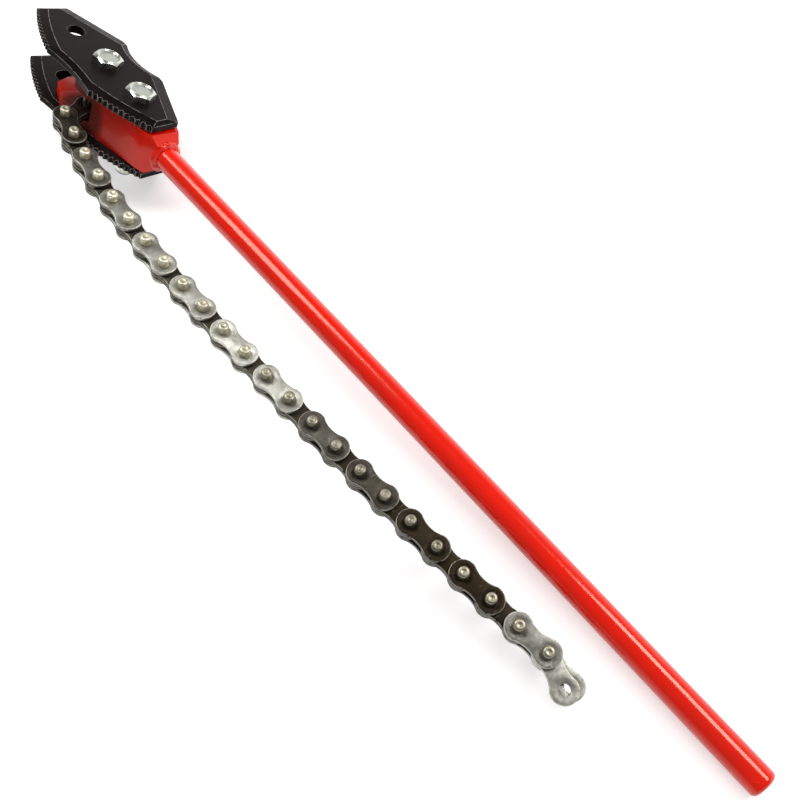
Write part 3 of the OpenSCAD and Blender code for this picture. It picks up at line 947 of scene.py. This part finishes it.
class WRENCH_OT_fasteners(bpy.types.Operator):
    """Bolts, nuts and spring washers, with threads on the bolts' ends"""

    bl_idname = "wrench.fasteners"
    bl_label = "Fasteners"

    def execute(self, context):
        sizes = context.scene.wrench_sizes
        zinc = finish_of("zinc")
        rounded_copy("jaw_bolts", "jaw_bolts_plated", sizes.bolt_edge, zinc, segments=2, shape=dish_heads)
        for node in ("jaw_nuts", "spring_washers"):
            rounded_copy(node, node + "_plated", sizes.bolt_edge, zinc, segments=2)
        bolts = in_place("jaw_bolts", HEAD.to_4x4())
        nuts = in_place("jaw_nuts", HEAD.to_4x4())
        low, nut_low = bolts[:, 2].min(), nuts[:, 2].min()
        middle = (bolts[:, 0].min() + bolts[:, 0].max()) / 2
        ends = bolts[bolts[:, 2] < nut_low]
        for k, side in enumerate((ends[:, 0] < middle, ends[:, 0] > middle)):
            x = (ends[side, 0].min() + ends[side, 0].max()) / 2
            r = (ends[side, 0].max() - ends[side, 0].min()) / 2
            height = nut_low - low - THREAD_END
            place = HEAD.to_4x4()
            place.translation = HEAD @ Vector((x, 0, low + THREAD_END))
            mesh = grown("thread", {
                "Radius": r - THREAD_DEPTH, "Height": height, "Turns": height / sizes.thread_pitch,
                "Ridge": THREAD_RIDGE, "Material": zinc}, "bolt_thread_%d" % (k + 1), place)
            smooth(mesh, 20)
            settle(show("bolt_thread_%d" % (k + 1), mesh), zinc, "jaw_bolts")
        return {"FINISHED"}


def row_piece(node, name, finish, tone, place, row):
    """Replaces a node by a row of copies of a pattern. The pattern is removed."""
    pattern = row["Pattern"]
    mesh = grown("row", {**row, "Material": finish_of(finish)}, name, place)
    blank = pattern.data
    bpy.data.objects.remove(pattern)
    bpy.data.meshes.remove(blank)
    piece = settle(show(name, mesh), finish_of(finish), node, tone)
    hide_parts(node)
    return piece


def make_plates(node, name, start, end, holes, tone):
    """Replaces a link's plates by stamped ones on the same layers."""
    sizes = bpy.context.scene.wrench_sizes
    place = link_place(node, start, end)
    points = in_place(node, place)
    heights = points[:, 2]
    layers = [heights[heights > 0], heights[heights < 0]]
    layers = [(layer.min(), layer.max()) for layer in layers if len(layer)]
    thick = layers[0][1] - layers[0][0]
    end_r = points[:, 1].max()
    pattern = plate_pattern(end_r, sizes.plate_waist, thick, holes, sizes.plate_edge, sizes.hole_lead)
    first, step = layers[0][0], layers[-1][0] - layers[0][0]
    return row_piece(node, name, "plate", tone, place, {
        "Pattern": pattern, "Count": len(layers), "Start": (0, 0, first), "Step": (0, 0, step)})


def make_pins(node, name, start, end, tone):
    """Replaces a link's two pins by turned ones with riveted ends."""
    place = link_place(node.replace("pins", "outer_plates"), start, end)
    points = in_place(node, place)
    half = points[:, 2].max()
    r = points[:, 1].max()
    upper = [(r * share, half - depth) for share, depth in RIVET_RIM]
    profile = upper + [(x, -z) for x, z in reversed(upper)]
    pattern = turned_pattern(profile)
    store(pattern.data, "edge", [
        math.hypot(*face.center.xy) < DIMPLE * r and abs(face.center.z) > half - DIMPLE_DEPTH
        for face in pattern.data.polygons])
    return row_piece(node, name, "pin", tone, place, {
        "Pattern": pattern, "Count": 2, "Start": (0, 0, 0), "Step": (PITCH, 0, 0)})


def along_chain(share, tones):
    return float(np.interp(share, *zip(*tones)))


def plate_tone(k):
    """How light a link's plates are: dark beside the head and towards the far end, light between, as
    painted light and shade.
    Inner plates are darker still, as painted shade between the outer plates."""
    last = 2 * OUTER_LINKS
    bare = along_chain(k / last, PLATE_LIGHT_AND_SHADE)
    return bare if k % 2 or k == last else INNER_PLATE_SHADE * bare


def pin_tone(k):
    """How bright a link's pins are: bright in the first half of the chain, duller after it, as painted
    light and shade.
    """
    return along_chain(k / OUTER_LINKS, PIN_LIGHT_AND_SHADE)


class WRENCH_OT_anchor(bpy.types.Operator):
    """Anchor pin and the plates of the first link, in the fork"""

    bl_idname = "wrench.anchor"
    bl_label = "Chain Anchor"

    def execute(self, context):
        rounded_copy("anchor_pin", "anchor_pin_turned", ANCHOR_PIN_EDGE, finish_of("pin"), segments=2,
                     tone=ANCHOR_PIN_SHADE)
        make_plates("anchor_plates", "anchor_plates_stamped", joint_point("anchor_swing"),
                    joint_point("bend_01"), (ANCHOR_HOLE, RUNNING_HOLE), plate_tone(0))
        return {"FINISHED"}


class WRENCH_OT_outer_links(bpy.types.Operator):
    """Outer links: pairs of stamped plates riveted on two pins each"""

    bl_idname = "wrench.outer_links"
    bl_label = "Outer Links"

    def execute(self, context):
        for k in range(1, OUTER_LINKS + 1):
            start, end = outer_ends(k)
            make_plates("outer_plates_%02d" % k, "outer_plates_stamped_%02d" % k, start, end,
                        (RIVETED_HOLE, RIVETED_HOLE), plate_tone(2 * k - 1))
            make_pins("pins_%02d" % k, "pins_riveted_%02d" % k, start, end, pin_tone(k))
        return {"FINISHED"}


class WRENCH_OT_inner_links(bpy.types.Operator):
    """Inner links: pairs of stamped plates that turn on the pins"""

    bl_idname = "wrench.inner_links"
    bl_label = "Inner Links"

    def execute(self, context):
        for k in range(1, OUTER_LINKS):
            start, end = inner_ends(k)
            make_plates("inner_plates_%02d" % k, "inner_plates_stamped_%02d" % k, start, end,
                        (RUNNING_HOLE, RUNNING_HOLE), plate_tone(2 * k))
        return {"FINISHED"}


class WRENCH_OT_end_plates(bpy.types.Operator):
    """The two loose plates at the chain's free end"""

    bl_idname = "wrench.end_plates"
    bl_label = "End Plates"

    def execute(self, context):
        for side in ("front", "rear"):
            make_plates(side + "_end_plate", side + "_end_plate_stamped", joint_point(side + "_end_swing"),
                        None, (RUNNING_HOLE, RUNNING_HOLE), plate_tone(2 * OUTER_LINKS))
        return {"FINISHED"}


# Stage

def seen_ray(tree):
    """1 for what the camera sees, directly or in metal and glass, and 0 for the light that falls."""
    path = tree.nodes.new("ShaderNodeLightPath")
    seen = greater(tree, path.outputs["Is Camera Ray"], path.outputs["Is Glossy Ray"])
    return greater(tree, seen, path.outputs["Is Transmission Ray"])


def floor_material(colour):
    """White floor that keeps soft shadows: it glows a little for the camera and for reflections."""
    material = bpy.data.materials.new("white_floor")
    material.use_nodes = True
    tree = material.node_tree
    tree.nodes.clear()
    out = tree.nodes.new("ShaderNodeOutputMaterial")
    matte = tree.nodes.new("ShaderNodeBsdfDiffuse")
    matte.inputs["Color"].default_value = (*colour, 1.0)
    glow = tree.nodes.new("ShaderNodeEmission")
    tree.links.new(times(tree, seen_ray(tree), FLOOR_GLOW), glow.inputs["Strength"])
    both = tree.nodes.new("ShaderNodeAddShader")
    tree.links.new(matte.outputs[0], both.inputs[0])
    tree.links.new(glow.outputs[0], both.inputs[1])
    tree.links.new(both.outputs[0], out.inputs["Surface"])
    return material


def aim(thing, at, target):
    thing.location = at
    thing.rotation_mode = "QUATERNION"
    thing.rotation_quaternion = (Vector(target) - Vector(at)).to_track_quat("-Z", "Y")


def area_lamp(name, at, target, size, power):
    light = bpy.data.lights.new(name, "AREA")
    light.shape = "RECTANGLE"
    light.size, light.size_y = size
    light.energy = power
    lamp = bpy.data.objects.new(name, light)
    bpy.context.scene.collection.objects.link(lamp)
    aim(lamp, at, target)
    return lamp


class WRENCH_OT_stage(bpy.types.Operator):
    """White floor, soft light and the camera of the photograph"""

    bl_idname = "wrench.stage"
    bl_label = "Stage"

    def execute(self, context):
        scene = context.scene
        stage = scene.wrench_stage
        low, high = Vector(CAD_BOX[0]), Vector(CAD_BOX[1])
        middle = (low + high) / 2
        corners = [(middle.x + x * FLOOR_HALF, middle.y + y * FLOOR_HALF, low.z - FLOOR_GAP)
                   for x, y in ((-1, -1), (1, -1), (1, 1), (-1, 1))]
        mesh = bpy.data.meshes.new("floor")
        mesh.from_pydata(corners, [], [(0, 1, 2, 3)])
        mesh.materials.append(floor_material(stage.floor))
        show("floor", mesh)

        world = bpy.data.worlds.new("studio")
        world.use_nodes = True
        scene.world = world
        tree = world.node_tree
        sky = next(n for n in tree.nodes if n.bl_idname == "ShaderNodeBackground")
        sky.inputs["Color"].default_value = (1.0, 1.0, 1.0, 1.0)
        way = tree.nodes.new("ShaderNodeSeparateXYZ")
        tree.links.new(tree.nodes.new("ShaderNodeTexCoord").outputs["Generated"], way.inputs[0])
        room = between(tree, way.outputs["Z"], 0.12, 0.5, stage.backdrop, stage.ceiling)
        extra = times(tree, minus(tree, room, stage.sky), seen_ray(tree))
        tree.links.new(plus(tree, extra, stage.sky), sky.inputs["Strength"])

        area_lamp("key", (1.05, 1.55, 1.6), (0.6, 0.0, 0.0), (0.75, 0.9), stage.key)
        area_lamp("overhead", (-0.62, 0.34, 1.75), (0.25, 0.0, 0.0), (1.2, 0.65), stage.overhead)

        across, down, away = CAMERA_AXES
        at = [-sum(axis[i] * o for axis, o in zip(CAMERA_AXES, CAMERA_OFFSET)) for i in range(3)]
        lens = bpy.data.cameras.new("camera")
        lens.sensor_fit = "HORIZONTAL"
        lens.sensor_width = 36.0
        lens.lens = stage.lens
        lens.clip_start = 0.05
        lens.clip_end = 50.0
        camera = bpy.data.objects.new("camera", lens)
        scene.collection.objects.link(camera)
        turn = Matrix((across, [-v for v in down], [-v for v in away])).transposed()
        camera.matrix_world = (HEAD @ turn).to_4x4()
        camera.location = head_point(*at)
        scene.camera = camera
        scene.view_settings.view_transform = "Standard"
        return {"FINISHED"}


OPERATORS = (
    WRENCH_OT_handle, WRENCH_OT_jaws, WRENCH_OT_fasteners, WRENCH_OT_anchor, WRENCH_OT_outer_links,
    WRENCH_OT_inner_links, WRENCH_OT_end_plates, WRENCH_OT_stage)


class WRENCH_PT_panel(bpy.types.Panel):
    """Lists the wrench's settings and the operators that build its pieces"""

    bl_idname = "WRENCH_PT_panel"
    bl_label = "Chain Pipe Wrench"
    bl_space_type = "VIEW_3D"
    bl_region_type = "UI"
    bl_category = "Wrench"

    def draw(self, context):
        for group in (context.scene.wrench_sizes, context.scene.wrench_colours, context.scene.wrench_stage):
            box = self.layout.box()
            for name in group.__annotations__:
                box.prop(group, name)
        for operator in OPERATORS:
            self.layout.operator(operator.bl_idname)


CLASSES = (WrenchSizes, WrenchColours, WrenchStage, *OPERATORS, WRENCH_PT_panel)


def register():
    for cls in CLASSES:
        bpy.utils.register_class(cls)
    bpy.types.Scene.wrench_sizes = PointerProperty(type=WrenchSizes)
    bpy.types.Scene.wrench_colours = PointerProperty(type=WrenchColours)
    bpy.types.Scene.wrench_stage = PointerProperty(type=WrenchStage)


def unregister():
    del bpy.types.Scene.wrench_stage
    del bpy.types.Scene.wrench_colours
    del bpy.types.Scene.wrench_sizes
    for cls in reversed(CLASSES):
        bpy.utils.unregister_class(cls)


def main():
    register()
    for operator in OPERATORS:
        group, name = operator.bl_idname.split(".")
        if getattr(getattr(bpy.ops, group), name)() != {"FINISHED"}:
            raise RuntimeError("%s did not finish" % operator.bl_label)


if __name__ == "__main__":
    main()
